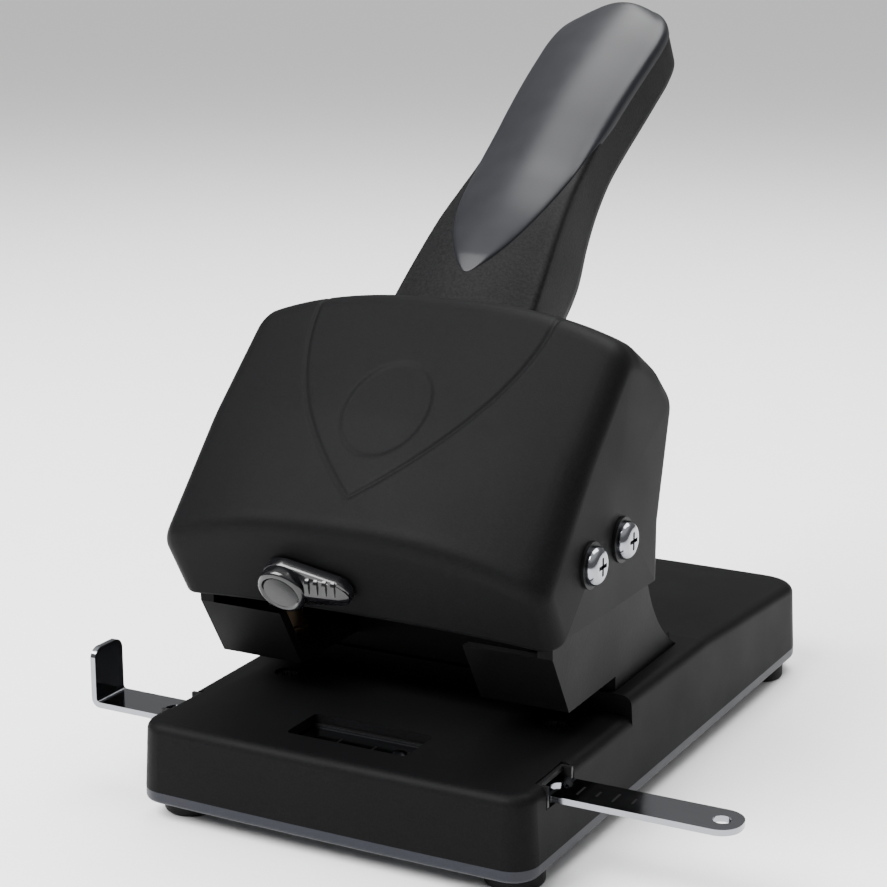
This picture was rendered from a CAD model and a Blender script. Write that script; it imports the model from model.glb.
from math import cos, exp, hypot, pi, radians, sin

import bmesh
import bpy
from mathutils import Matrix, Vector


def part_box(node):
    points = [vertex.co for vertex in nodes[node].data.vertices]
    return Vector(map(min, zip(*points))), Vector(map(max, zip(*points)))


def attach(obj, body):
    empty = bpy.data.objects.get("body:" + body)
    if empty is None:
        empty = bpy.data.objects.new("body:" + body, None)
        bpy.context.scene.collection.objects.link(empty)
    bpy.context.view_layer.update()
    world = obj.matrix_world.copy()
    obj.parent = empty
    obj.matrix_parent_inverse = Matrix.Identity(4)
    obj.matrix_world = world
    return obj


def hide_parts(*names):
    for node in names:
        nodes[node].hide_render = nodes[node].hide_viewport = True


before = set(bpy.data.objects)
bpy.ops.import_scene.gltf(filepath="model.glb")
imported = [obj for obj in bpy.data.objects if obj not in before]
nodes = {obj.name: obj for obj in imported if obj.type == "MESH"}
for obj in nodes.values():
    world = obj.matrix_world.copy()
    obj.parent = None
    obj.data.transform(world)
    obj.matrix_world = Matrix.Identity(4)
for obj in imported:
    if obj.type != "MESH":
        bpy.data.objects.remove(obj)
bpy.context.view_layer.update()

# ---------------------------------------------------------------- chip tray and feet
# The tray is one thin injection-moulded dish in blue-black polypropylene that clips under the
# base and swings down on two steel pins. Its four feet are moulded nitrile rubber discs.


def linear(hex_colour):
    """sRGB hex colour as linear RGBA."""
    channels = [int(hex_colour[i : i + 2], 16) / 255 for i in (1, 3, 5)]
    return [c / 12.92 if c <= 0.04045 else ((c + 0.055) / 1.055) ** 2.4 for c in channels] + [1.0]


def add(tree, kind, settings=None, links=None):
    """Adds a node, sets its sockets and properties, and links sockets to other nodes' outputs."""
    node = tree.nodes.new(kind)
    for key, value in (settings or {}).items():
        if isinstance(key, int) or key in node.inputs:
            node.inputs[key].default_value = value
        else:
            setattr(node, key, value)
    for key, (source, output) in (links or {}).items():
        tree.links.new(source.outputs[output], node.inputs[key])
    return node


def new_material(name, **finish):
    """Empty material with one Principled shader, and the shader's own settings."""
    material = bpy.data.materials.new(name)
    material.use_nodes = True
    tree = material.node_tree
    tree.nodes.clear()
    shader = add(tree, "ShaderNodeBsdfPrincipled", finish)
    add(tree, "ShaderNodeOutputMaterial", links={"Surface": (shader, "BSDF")})
    return material, tree, shader


def moulded(name, tones, roughness, grain_mm, depth_mm, ior, specular=0.5):
    """Moulded or coated surface: a fine grain in two tones that breaks up the gloss."""
    material, tree, shader = new_material(name, **{"IOR": ior, "Specular IOR Level": specular})
    place = add(tree, "ShaderNodeTexCoord")
    grain = add(
        tree,
        "ShaderNodeTexNoise",
        {"Scale": 1000 / grain_mm, "Detail": 2.0, "Roughness": 0.6},
        {"Vector": (place, "Object")},
    )
    tone = add(tree, "ShaderNodeValToRGB", links={"Fac": (grain, "Fac")})
    for stop, position, colour in zip(tone.color_ramp.elements, (0.35, 0.65), tones):
        stop.position, stop.color = position, linear(colour)
    wear = add(
        tree,
        "ShaderNodeTexNoise",
        {"Scale": 1000 / 28, "Detail": 3.0, "Roughness": 0.55},
        {"Vector": (place, "Object")},
    )
    gloss = add(
        tree,
        "ShaderNodeMapRange",
        {"From Min": 0.3, "From Max": 0.7, "To Min": roughness - 0.03, "To Max": roughness + 0.04},
        {"Value": (wear, "Fac")},
    )
    bump = add(
        tree, "ShaderNodeBump", {"Strength": 1.0, "Distance": depth_mm / 1000}, {"Height": (grain, "Fac")}
    )
    tree.links.new(tone.outputs["Color"], shader.inputs["Base Color"])
    tree.links.new(gloss.outputs["Result"], shader.inputs["Roughness"])
    tree.links.new(bump.outputs["Normal"], shader.inputs["Normal"])
    return material


def finish_node(material, *names):
    """Gives a carried-over part its finish."""
    for name in names:
        slots = nodes[name].data.materials
        slots.clear()
        slots.append(material)


# Polypropylene: IOR 1.49, satin, a shade bluer than the body above it.
tray_pp = moulded("polypropylene_moulded", ("#0e1018", "#131622"), 0.42, 0.5, 0.012, 1.49, 0.3)
finish_node(tray_pp, "chip_tray")
# Nitrile rubber: dull, with a fine even bloom.
nitrile = moulded("nitrile_rubber_moulded", ("#0a0a0a", "#101010"), 0.72, 0.6, 0.02, 1.52, 0.2)
finish_node(nitrile, "rubber_feet")

# ---------------------------------------------------------------- base housing and dies
# The base is a black ABS moulding from a spark-eroded tool. Two ground steel die rings are
# pressed into its table, one under each pin.

# ABS: IOR 1.53. Real spark grain is 0.1 to 0.2 mm; drawn at 0.45 mm so that it still shows.
body_abs = moulded("abs_spark_textured", ("#080809", "#0e0e0f"), 0.54, 0.45, 0.03, 1.53, 0.05)
finish_node(body_abs, "base_housing")


def worked_metal(name, colour, roughness, across_mm, along_mm, axis, bump_mm):
    """Metal with a directional finish: fine lines left along one axis by grinding or drawing."""
    material, tree, shader = new_material(name, Metallic=1.0)
    shader.inputs["Base Color"].default_value = linear(colour)
    place = add(tree, "ShaderNodeTexCoord")
    scales = [1000 / across_mm] * 3
    scales["XYZ".index(axis)] = 1000 / along_mm
    stretch = add(tree, "ShaderNodeMapping", {"Scale": scales}, {"Vector": (place, "Object")})
    lines = add(
        tree,
        "ShaderNodeTexNoise",
        {"Scale": 1.0, "Detail": 3.0, "Roughness": 0.6},
        {"Vector": (stretch, "Vector")},
    )
    gloss = add(
        tree,
        "ShaderNodeMapRange",
        {"From Min": 0.3, "From Max": 0.7, "To Min": roughness * 0.75, "To Max": roughness * 1.3},
        {"Value": (lines, "Fac")},
    )
    bump = add(
        tree, "ShaderNodeBump", {"Strength": 1.0, "Distance": bump_mm / 1000}, {"Height": (lines, "Fac")}
    )
    tree.links.new(gloss.outputs["Result"], shader.inputs["Roughness"])
    tree.links.new(bump.outputs["Normal"], shader.inputs["Normal"])
    return material


# Hardened tool steel, ground round its axis.
ground_steel = worked_metal("tool_steel_ground", "#a9a9ab", 0.28, 0.5, 6.0, "Z", 0.004)
finish_node(ground_steel, "die_left", "die_right", "punch_pin_left", "punch_pin_right")
finish_node(ground_steel, "pivot_shaft", "stop_rod")

# ---------------------------------------------------------------- cast frame
# One cast alloy C-frame carries both jaws and is powder coated black. Four zinc plated bolts
# hold it to the base. The lever stops on a rubber sleeve over a steel rod between its cheeks.

# Powder coat: slightly orange-peeled, satin.
frame_coat = moulded("powder_coat_on_casting", ("#060606", "#0a0a0a"), 0.48, 0.9, 0.03, 1.5, 0.06)
finish_node(frame_coat, "frame_casting")
finish_node(nitrile, "stop_sleeve")
# Zinc plate over pressed steel: cool grey, with faint lines from rolling.
zinc_plate = worked_metal("steel_zinc_plated", "#b4b7bc", 0.34, 0.6, 8.0, "Y", 0.004)
finish_node(zinc_plate, "frame_bolts", "tray_hinge_pins", "handle_screws", "lock_shaft", "lock_catch")
finish_node(zinc_plate, "torque_tube", "press_cam_left", "press_cam_right", "lever_channel")
finish_node(zinc_plate, "spring_seat_left", "spring_seat_right")

# ---------------------------------------------------------------- pin guides and springs
# Each pin runs in a sintered bronze bush in its jaw and is lifted by a spring of drawn wire.

# Sintered bronze: porous and oiled, so dull with small dark pores.
bronze = worked_metal("bronze_sintered", "#4d4133", 0.45, 0.5, 0.5, "Z", 0.012)
finish_node(bronze, "pin_guide_left", "pin_guide_right")
# Oil-tempered wire: dark and smooth.
spring_wire = worked_metal("spring_wire_drawn", "#77787a", 0.3, 0.4, 5.0, "X", 0.003)
finish_node(spring_wire, "return_spring_left", "return_spring_right", "lever_spring", "detent_spring")

# ---------------------------------------------------------------- handle shell
# A deep ABS channel moulded over the steel lever, with a coarser grain than the body. It is
# wide where it leaves the hood, waisted in the middle and rounded at its end.

MM = 0.001
handle_lean = radians(32.9)
handle_foot = (12.0, 90.0)
# distance along the handle, top edge and lower edge above the foot line, half width
handle_stations = [
    (0.0, 0.0, -14.0, 21.3),
    (14.5, 1.8, -14.8, 20.9),
    (28.0, 4.0, -15.8, 19.9),
    (44.0, 6.2, -16.2, 18.4),
    (57.0, 6.8, -12.8, 17.0),
    (68.0, 6.7, -10.2, 16.3),
    (80.0, 7.0, -8.4, 16.1),
    (92.0, 7.4, -7.9, 16.5),
    (104.0, 7.4, -7.8, 17.0),
    (116.0, 7.0, -7.8, 17.4),
    (127.0, 6.4, -7.9, 17.5),
    (136.0, 5.4, -8.0, 16.2),
    (143.0, 4.0, -8.1, 12.4),
    (147.0, 2.6, -8.2, 7.6),
    (148.6, 1.6, -8.2, 3.0),
]


def along(stations, place, column):
    """Value of one column at a place, on a smooth curve through the stations."""
    count = len(stations)
    i = max(1, min(count - 1, next((k for k in range(1, count) if stations[k][0] >= place), count - 1)))
    before, left, right, after = (stations[max(0, min(count - 1, k))] for k in (i - 2, i - 1, i, i + 1))
    t = (place - left[0]) / (right[0] - left[0])
    gap = right[0] - left[0]
    out = (right[column] - before[column]) / (right[0] - before[0]) * gap
    into = (after[column] - left[column]) / (after[0] - left[0]) * gap
    return (
        (2 * t**3 - 3 * t**2 + 1) * left[column]
        + (t**3 - 2 * t**2 + t) * out
        + (3 * t**2 - 2 * t**3) * right[column]
        + (t**3 - t**2) * into
    )


def handle_point(x, place, height):
    """Point on the handle from its distance along and its height above the foot line."""
    y = handle_foot[0] + place * cos(handle_lean) - height * sin(handle_lean)
    z = handle_foot[1] + place * sin(handle_lean) + height * cos(handle_lean)
    return (x * MM, y * MM, z * MM)


def skin(name, rows, body, material):
    """Surface through rows of points, one quad between each four neighbours, riding on a body."""
    bm = bmesh.new()
    grid = [[bm.verts.new(p) for p in row] for row in rows]
    for i in range(len(rows) - 1):
        for j in range(len(rows[0]) - 1):
            bm.faces.new((grid[i][j], grid[i][j + 1], grid[i + 1][j + 1], grid[i + 1][j]))
    bmesh.ops.remove_doubles(bm, verts=bm.verts, dist=1e-6)
    return finish_mesh(name, bm, body, material)


def finish_mesh(name, bm, body, material, sharp=40):
    """Turns a bmesh into a shaded object that rides on a body."""
    mesh = bpy.data.meshes.new(name)
    bm.to_mesh(mesh)
    bm.free()
    mesh.shade_smooth()
    mesh.set_sharp_from_angle(angle=radians(sharp))
    mesh.materials.append(material)
    piece = bpy.data.objects.new(name, mesh)
    bpy.context.collection.objects.link(piece)
    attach(piece, body)
    return piece


def thicken(piece, wall_mm):
    """Gives a skin its moulded wall thickness."""
    wall = piece.modifiers.new("wall", "SOLIDIFY")
    wall.thickness = wall_mm * MM
    wall.offset = -1.0


shoulder = 2.0
crown = 3.8
handle_end = handle_stations[-1][0]
side_steps, shoulder_steps, top_steps, handle_rings = 10, 6, 14, 120
handle_rows = []
for i in range(handle_rings + 1):
    place = handle_end * (1 - (1 - i / handle_rings) ** 1.35)
    top, low, half = (along(handle_stations, place, c) for c in (1, 2, 3))
    radius = min(shoulder, half * 0.6)
    right = [(half, low + (top - radius - low) * j / side_steps) for j in range(side_steps)]
    for j in range(shoulder_steps + 1):
        turn = pi / 2 * j / shoulder_steps
        right.append((half - radius * (1 - cos(turn)), top - radius * (1 - sin(turn))))
    rise = crown * min(1, half / 12)
    flat = half - radius
    over = [
        (flat * (1 - j / top_steps), top + rise * (1 - (1 - j / top_steps) ** 2))
        for j in range(1, top_steps + 1)
    ]
    section = right + over
    section += [(-x, h) for x, h in reversed(section[:-1])]
    handle_rows.append([handle_point(x, place, h) for x, h in reversed(section)])
handle_abs = moulded("abs_coarse_spark_textured", ("#080809", "#141415"), 0.58, 0.7, 0.07, 1.53, 0.07)
handle_skin = skin("handle_shell_skin", handle_rows, "handle", handle_abs)
thicken(handle_skin, 2.2)
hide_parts("handle_shell")

# ---------------------------------------------------------------- grip pad
# A leaf-shaped soft-touch overmould in thermoplastic rubber, bonded on top of the handle. It
# starts as a point near the hood and takes the handle's full width from its middle to its end.

# TPE: IOR 1.5, smooth with a wide soft sheen that turns a little blue where it catches light.
grip_finish = {"IOR": 1.5, "Specular IOR Level": 0.2}
grip_tpe, grip_tree, grip_shader = new_material("tpe_soft_touch_moulded", **grip_finish)
grip_place = add(grip_tree, "ShaderNodeTexCoord")
grip_bloom = add(
    grip_tree,
    "ShaderNodeTexNoise",
    {"Scale": 1000 / 9, "Detail": 4.0, "Roughness": 0.6},
    {"Vector": (grip_place, "Object")},
)
grip_tone = add(grip_tree, "ShaderNodeValToRGB", links={"Fac": (grip_bloom, "Fac")})
for stop, position, colour in zip(grip_tone.color_ramp.elements, (0.3, 0.7), ("#131418", "#18191d")):
    stop.position, stop.color = position, linear(colour)
grip_grain = add(
    grip_tree, "ShaderNodeTexNoise", {"Scale": 1000 / 0.5, "Detail": 1.0}, {"Vector": (grip_place, "Object")}
)
grip_bump = add(
    grip_tree, "ShaderNodeBump", {"Strength": 0.6, "Distance": 0.00001}, {"Height": (grip_grain, "Fac")}
)
grip_gloss = add(
    grip_tree,
    "ShaderNodeMapRange",
    {"From Min": 0.3, "From Max": 0.7, "To Min": 0.33, "To Max": 0.38},
    {"Value": (grip_bloom, "Fac")},
)
grip_tree.links.new(grip_tone.outputs["Color"], grip_shader.inputs["Base Color"])
grip_tree.links.new(grip_bump.outputs["Normal"], grip_shader.inputs["Normal"])
grip_tree.links.new(grip_gloss.outputs["Result"], grip_shader.inputs["Roughness"])

pad_start, pad_full, pad_end = 22.5, 90.0, 148.5
pad_rise, pad_skirt, pad_spread = 0.7, 1.4, 0.25
pad_steps, pad_rings = 28, 130
pad_rows = []
for i in range(pad_rings + 1):
    place = pad_start + (pad_end - pad_start) * (i / pad_rings) ** 1.15
    top, half = (along(handle_stations, place, c) for c in (1, 3))
    radius = min(shoulder, half * 0.6)
    rise = crown * min(1, half / 12)
    grown = min(1, (place - pad_start) / (pad_full - pad_start))
    reach = half * max(0.0, 1 - (1 - grown) ** 2.0) ** 0.72

    def pad_height(x):
        """Height of the handle's top under the pad at x."""
        flat = half - radius
        if abs(x) <= flat:
            return top + rise * (1 - (x / flat) ** 2) if flat > 0 else top
        turn = min(1, (abs(x) - flat) / radius)
        return top - radius * (1 - (1 - turn**2) ** 0.5)

    section = []
    for j in range(pad_steps + 1):
        x = reach * sin(pi / 2 * (2 * j / pad_steps - 1))
        edge = 1 - abs(x / reach) ** 10 if reach > 0 else 0
        lift = pad_rise * edge**0.5 * min(1, grown * 12)
        section.append((x * (1 + pad_spread / max(reach, 1) * grown), pad_height(x) + lift))
    skirt = pad_height(reach) - pad_skirt
    section = [(section[0][0], skirt)] + section + [(section[-1][0], skirt)]
    pad_rows.append([handle_point(x, place, h) for x, h in section])
grip = skin("grip_pad_skin", pad_rows, "handle", grip_tpe)
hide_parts("grip_pad")

# ---------------------------------------------------------------- hood
# A thin ABS moulding over the frame, open below and slotted at the back for the lever. Its
# face is crowned across, breaks at an arched crease into a lower band, and carries two shallow
# styling grooves that sweep down to a point, with a plain oval recess between them.

hood_half = 53.5
hood_edge_radius = 5.5
slot_half = 23.0
# section at the middle and at the ends: distance from the die line and height, with corner radii
hood_middle = [
    (-30.2, 31.0), (-42.3, 55.0), (-17.5, 78.6), (12.0, 103.8), (21.0, 101.4),
    (34.0, 93.0), (43.4, 80.6), (35.6, 46.0), (35.6, 31.0),
]
hood_ends = [
    (-29.4, 29.0), (-39.2, 45.0), (-14.0, 73.6), (9.6, 95.4), (19.0, 92.8),
    (33.0, 85.4), (43.2, 77.2), (35.0, 46.0), (35.0, 31.0),
]
hood_radii = [0, 6.5, 60.0, 9.5, 14.0, 16.0, 7.0, 12.0, 0]
hood_divisions = [26, 66, 60, 6, 10, 8, 18, 10]


def rounded(corners, radii, divisions, bend=8):
    """Points along a path with its corners rounded, always as many for the same divisions."""
    points = []
    cuts = []
    for k in range(1, len(corners) - 1):
        here = Vector(corners[k])
        back, on = Vector(corners[k - 1]) - here, Vector(corners[k + 1]) - here
        turn = pi - back.angle(on)
        tangent = radii[k] * (1 - cos(turn)) / max(sin(turn), 1e-6)
        cut = min(tangent, 0.45 * back.length, 0.45 * on.length)
        cuts.append((here + back.normalized() * cut, here, here + on.normalized() * cut))
    start = Vector(corners[0])
    for k, (enter, here, leave) in enumerate(cuts):
        points += [start.lerp(enter, j / divisions[k]) for j in range(divisions[k])]
        for j in range(bend):
            t = j / bend
            points.append(enter * (1 - t) ** 2 + here * 2 * t * (1 - t) + leave * t**2)
        start = leave
    points += [start.lerp(Vector(corners[-1]), j / divisions[-1]) for j in range(divisions[-1] + 1)]
    return points


def drawn_in(corners, inset):
    """The same path moved inwards, with each side kept parallel to itself."""
    sides = []
    for a, b in zip(corners, corners[1:]):
        run = (b - a).normalized()
        shift = Vector((run.y, -run.x)) * inset
        sides.append((a + shift, b + shift))
    moved = [sides[0][0]]
    for (a, b), (c, d) in zip(sides, sides[1:]):
        run, cross = b - a, d - c
        t = (c - a).cross(cross) / run.cross(cross)
        moved.append(a + run * t)
    return moved + [sides[-1][1]]


def hood_section(x, inset=0.0):
    """Profile of the hood at x, drawn in where its ends are rounded over."""
    weight = min(1.0, abs(x) / hood_half) ** 2.6
    corners = [Vector(a).lerp(Vector(b), weight) for a, b in zip(hood_middle, hood_ends)]
    radii = [max(r - inset, 0.8) for r in hood_radii]
    return rounded(drawn_in(corners, inset), radii, hood_divisions)


def outward(points, k):
    """Unit normal of a profile at one of its points."""
    run = points[min(k + 1, len(points) - 1)] - points[max(k - 1, 0)]
    return Vector((-run.y, run.x)).normalized()


groove_top, groove_point, groove_half = 101.0, 62.0, 33.5
groove_depth, groove_width = 0.42, 0.55
badge_height, badge_rise, badge_half_x, badge_half_z = 80.0, 0.45, 11.5, 9.5


def groove_reach(z):
    """Half distance between the two styling grooves at a height."""
    t = (z - groove_point) / (groove_top - groove_point)
    return groove_half * (1 - (1 - min(1.0, t)) ** 1.9) if t > 0 else -1


def face_cut(x, z):
    """Depth of the grooves and the oval recess at a point of the face."""
    depth = 0.0
    if groove_point - 2 < z < groove_top:
        near = min(
            hypot(abs(x) - groove_reach(z + step), step * 1.35)
            for step in (-1.2, -0.8, -0.4, 0, 0.4, 0.8, 1.2)
            if groove_reach(z + step) >= 0 or z + step < groove_point + 0.4
        )
        depth += groove_depth * exp(-((near / groove_width) ** 2))
    oval = hypot(x / badge_half_x, (z - badge_height) / badge_half_z)
    wall = (1 - oval) * badge_half_z / 0.7
    depth += badge_rise / (1 + exp(-4 * max(-6.0, min(6.0, wall))))
    return depth


face_half = 45
hood_hub = (4.0, 58.0)
edge_steps = 9
face_xs = [-face_half + 0.4 * k for k in range(226)]
hood_xs = sorted(
    {round(x, 3) for x in face_xs}
    | {-slot_half, slot_half}
    | {s * round(47 - k * 0.5, 3) for s in (-1, 1) for k in range(0, 4)}
)
first_face, last_face = hood_divisions[0], sum(hood_divisions[:3]) + 24
middle = hood_section(0)
slot_from = next(k for k, p in enumerate(middle) if p.x >= 20.0)
rows = []
for k in range(edge_steps):
    turn = pi / 2 * (1 - k / edge_steps)
    rows.append((-(hood_half - hood_edge_radius * (1 - sin(turn))), hood_edge_radius * (1 - cos(turn))))
rows += [(x, 0.0) for x in hood_xs]
rows += [(-x, inset) for x, inset in reversed(rows[:edge_steps])]
grid = []
for x, inset in rows:
    profile = hood_section(x, inset)
    row = []
    for k, p in enumerate(profile):
        depth = face_cut(x, p.y) if first_face < k < last_face and abs(x) < face_half else 0.0
        q = p - outward(profile, k) * depth
        row.append((x * MM, q.x * MM, q.y * MM))
    grid.append(row)


def hood_skip(i, j):
    """No wall where the lever swings: the slot runs from behind the crown down the back."""
    x0, x1 = rows[i][0], rows[i + 1][0]
    return j >= slot_from and max(abs(x0), abs(x1)) <= slot_half + 0.01


bm = bmesh.new()
verts = [[bm.verts.new(p) for p in row] for row in grid]
for i in range(len(rows) - 1):
    for j in range(len(grid[0]) - 1):
        if not hood_skip(i, j):
            bm.faces.new((verts[i][j], verts[i + 1][j], verts[i + 1][j + 1], verts[i][j + 1]))
for side, row in ((-1, verts[0]), (1, verts[-1])):
    hub = bm.verts.new((side * hood_half * MM, hood_hub[0] * MM, hood_hub[1] * MM))
    for k, vert in enumerate(row):
        bm.faces.new((vert, row[(k + 1) % len(row)], hub))
bmesh.ops.delete(bm, geom=[v for v in bm.verts if not v.link_faces], context="VERTS")
bmesh.ops.recalc_face_normals(bm, faces=bm.faces)
front = min(bm.faces, key=lambda f: f.calc_center_median().y)
if front.normal.y > 0:
    bmesh.ops.reverse_faces(bm, faces=bm.faces)
hood = finish_mesh("hood_skin", bm, "base", body_abs, sharp=50)
thicken(hood, 2.0)
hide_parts("head_cover")

# ---------------------------------------------------------------- side screws and washers
# Four cross-recessed dome screws in bright chromed steel hold the hood to the frame, each
# on a black nylon washer.

# Decorative chrome: smooth, with the faintest polishing lines. Its colour is set darker than real
# plate, so that the pale surroundings do not wash it out.
chrome = worked_metal("steel_chrome_plated", "#8b8d92", 0.12, 0.8, 14.0, "X", 0.0006)
finish_node(chrome, "side_screws")
washer_nylon = moulded("nylon_moulded", ("#060606", "#0a0a0a"), 0.5, 0.4, 0.01, 1.53, 0.15)
finish_node(washer_nylon, "side_washers")

# ---------------------------------------------------------------- handle lock
# A gloss black ABS knob on the lower band: a round boss with a tapered thumb arm whose upper
# flank is ribbed. Its steel shaft carries the catch inside the hood.

gloss_abs = moulded("abs_polished", ("#0b0b0d", "#0f0f12"), 0.16, 0.9, 0.002, 1.53)
band = Vector((0, -0.88436, -0.46675))
band_up = Vector((0, -0.46675, 0.88436))
knob_centre = Vector((-16.0, -34.75, 40.0))


def knob_point(u, v, out):
    """Point on the knob from its position across and up the band, and its height off the band."""
    p = knob_centre + Vector((u, 0, 0)) + band_up * v + band * out
    return tuple(c * MM for c in p)


def hull_loop(r1, r2, reach, drop, count=48):
    """Outline of the knob: a large round and a small round joined by their tangents."""
    lean = pi / 2 - (r1 - r2) / reach
    loop = []
    for k in range(count // 2 + 1):
        a = lean + (2 * pi - 2 * lean) * k / (count // 2)
        loop.append((r1 * cos(a), r1 * sin(a)))
    for k in range(count // 2 + 1):
        a = -lean + 2 * lean * k / (count // 2)
        loop.append((reach + r2 * cos(a), drop + r2 * sin(a)))
    return loop


def stacked(name, layers, body, material):
    """Solid from loops stacked one above the other, closed at both ends."""
    bm = bmesh.new()
    loops = [[bm.verts.new(p) for p in layer] for layer in layers]
    count = len(loops[0])
    for lower, upper in zip(loops, loops[1:]):
        for k in range(count):
            bm.faces.new((lower[k], lower[(k + 1) % count], upper[(k + 1) % count], upper[k]))
    bm.faces.new(loops[0][::-1])
    bm.faces.new(loops[-1])
    bmesh.ops.recalc_face_normals(bm, faces=bm.faces)
    return finish_mesh(name, bm, body, material, sharp=35)


plate_round, plate_tip, plate_reach, plate_drop = 6.8, 4.0, 14.0, -0.5
plate_layers = []
for out, inset in ((0.4, 0.25), (0.65, 0.0), (2.6, 0.05), (3.1, 0.25), (3.4, 0.8)):
    outline = hull_loop(plate_round - inset, plate_tip - inset, plate_reach, plate_drop)
    plate_layers.append([knob_point(u, v, out) for u, v in outline])
knob_plate = stacked("lock_knob_plate", plate_layers, "lock", gloss_abs)
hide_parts("lock_knob")

boss_sides = 48
boss_turns = [2 * pi * k / boss_sides for k in range(boss_sides)]
boss_profile = [
    (6.5, 3.0), (6.5, 5.2), (6.4, 5.7), (6.1, 6.1), (5.6, 6.35),
    (5.2, 6.4), (4.9, 6.3), (4.6, 6.05), (3.0, 5.95), (1.0, 5.9),
]
boss_layers = [[knob_point(r * cos(a), r * sin(a), out) for a in boss_turns] for r, out in boss_profile]
knob_boss = stacked("lock_knob_boss", boss_layers, "lock", gloss_abs)

# distance along the arm, half width, height of its ridge
arm_sections = [
    (2.0, 5.0, 5.6), (8.0, 4.5, 5.4), (12.0, 4.0, 5.1), (15.5, 3.2, 4.7), (17.2, 1.8, 4.0), (17.8, 0.7, 3.5)
]
arm_layers = []
for u, half, ridge in arm_sections:
    drop = plate_drop * u / plate_reach
    arm_layers.append(
        [
            knob_point(u, drop - half, 2.8),
            knob_point(u, drop - half * 0.9, 3.6),
            knob_point(u, drop - 0.35, ridge),
            knob_point(u, drop + 0.35, ridge),
            knob_point(u, drop + half * 0.9, 3.6),
            knob_point(u, drop + half, 2.8),
        ]
    )
knob_arm = stacked("lock_knob_arm", arm_layers, "lock", gloss_abs)

rib_count, rib_pitch, rib_half = 4, 2.3, 0.55
for k in range(rib_count):
    u = 7.4 + rib_pitch * k
    tall = 5.5 - 0.18 * k
    layers = []
    for v, fall, thin in ((0.4, 0.0, 0.0), (2.2, 0.45, 0.0), (3.4, 1.1, 0.05), (3.9, 2.0, 0.12)):
        v -= 0.08 * k
        out = tall - fall
        layers.append(
            [
                knob_point(u - rib_half + thin, v, 2.9),
                knob_point(u + rib_half - thin, v, 2.9),
                knob_point(u + rib_half - thin, v, out),
                knob_point(u - rib_half + thin, v, out),
            ]
        )
    stacked(f"lock_knob_rib_{k + 1}", layers, "lock", gloss_abs)

# ---------------------------------------------------------------- paper guide bar
# A chromed steel strip that slides through the base under the table, bent up at its left end
# as a stop for the sheet. Size marks are stamped across it and filled with black lacquer.

finish_node(chrome, "guide_bar")
channel_abs = moulded("abs_moulded_satin", ("#0d0d0e", "#131314"), 0.45, 0.5, 0.015, 1.53, 0.2)
finish_node(channel_abs, "bar_channel", "notch_liner_left", "notch_liner_right")
lacquer = moulded("lacquer_filled_stamping", ("#060606", "#0b0b0b"), 0.6, 0.6, 0.01, 1.5, 0.1)
bar_line, bar_top, mark_half = -30.0, -3.0, 0.3
mark_sizes = ((60.0, 5.0), (64.5, 3.0), (69.0, 5.0), (73.5, 3.0), (-6.0, 3.0), (4.0, 3.0))
for k, (x, long) in enumerate(mark_sizes):
    near, far = bar_line - long / 2, bar_line + long / 2
    ends = [(x - mark_half, near), (x + mark_half, near), (x + mark_half, far), (x - mark_half, far)]
    layers = [[(a * MM, b * MM, h * MM) for a, b in ends] for h in (bar_top - 0.25, bar_top + 0.02)]
    mark = stacked(f"guide_bar_mark_{k + 1}", layers, "paper_guide", lacquer)

# ---------------------------------------------------------------- setting
# A pale seamless table under a large soft light, with a second one overhead.

floor_paint, floor_tree, floor_shader = new_material("paper_backdrop_matt", Roughness=0.9)
floor_place = add(floor_tree, "ShaderNodeTexCoord")
floor_fibre = add(
    floor_tree, "ShaderNodeTexNoise", {"Scale": 60.0, "Detail": 3.0}, {"Vector": (floor_place, "Object")}
)
floor_tone = add(floor_tree, "ShaderNodeValToRGB", links={"Fac": (floor_fibre, "Fac")})
floor_tone.color_ramp.elements[0].color = linear("#f9f9f9")
floor_tone.color_ramp.elements[1].color = linear("#fcfcfc")
floor_tree.links.new(floor_tone.outputs["Color"], floor_shader.inputs["Base Color"])
bpy.ops.mesh.primitive_plane_add(size=60, location=(0, 0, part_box("rubber_feet")[0][2]))
floor = bpy.context.object
floor.name = "floor"
floor.data.materials.append(floor_paint)

# The room is grey to shoulder height and opens to a white ceiling.
world = bpy.data.worlds.new("studio")
world.use_nodes = True
sky = world.node_tree
sky_place = add(sky, "ShaderNodeTexCoord")
sky_axes = add(sky, "ShaderNodeSeparateXYZ", links={"Vector": (sky_place, "Generated")})
sky_rise = add(
    sky,
    "ShaderNodeMapRange",
    {"From Min": 0.35, "From Max": 0.85, "To Min": 0.3, "To Max": 1.0, "interpolation_type": "SMOOTHSTEP"},
    {"Value": (sky_axes, "Z")},
)
sky.links.new(sky_rise.outputs["Result"], sky.nodes["Background"].inputs["Strength"])
sky.nodes["Background"].inputs["Color"].default_value = (1, 1, 1, 1)
bpy.context.scene.world = world


def soft_light(name, place, aim, size, watts):
    """Square soft box that points at aim."""
    light = bpy.data.lights.new(name, "AREA")
    light.size, light.energy = size, watts
    lamp = bpy.data.objects.new(name, light)
    lamp.location = place
    lamp.rotation_euler = (Vector(aim) - Vector(place)).to_track_quat("-Z", "Y").to_euler()
    bpy.context.collection.objects.link(lamp)


soft_light("key", (-0.5, -0.75, 1.1), (0, 0, 0.05), 0.9, 52)
soft_light("top", (0.1, 0.5, 1.2), (0, 0.03, 0.08), 1.0, 26)

camera = bpy.data.cameras.new("camera")
camera.lens, camera.sensor_width = 81.17, 36.0
camera_object = bpy.data.objects.new("camera", camera)
camera_object.location = (0.2352, -0.4327, 0.1858)
camera_object.rotation_euler = (radians(90 - 13.47), 0, radians(27.73))
bpy.context.collection.objects.link(camera_object)
bpy.context.scene.camera = camera_object
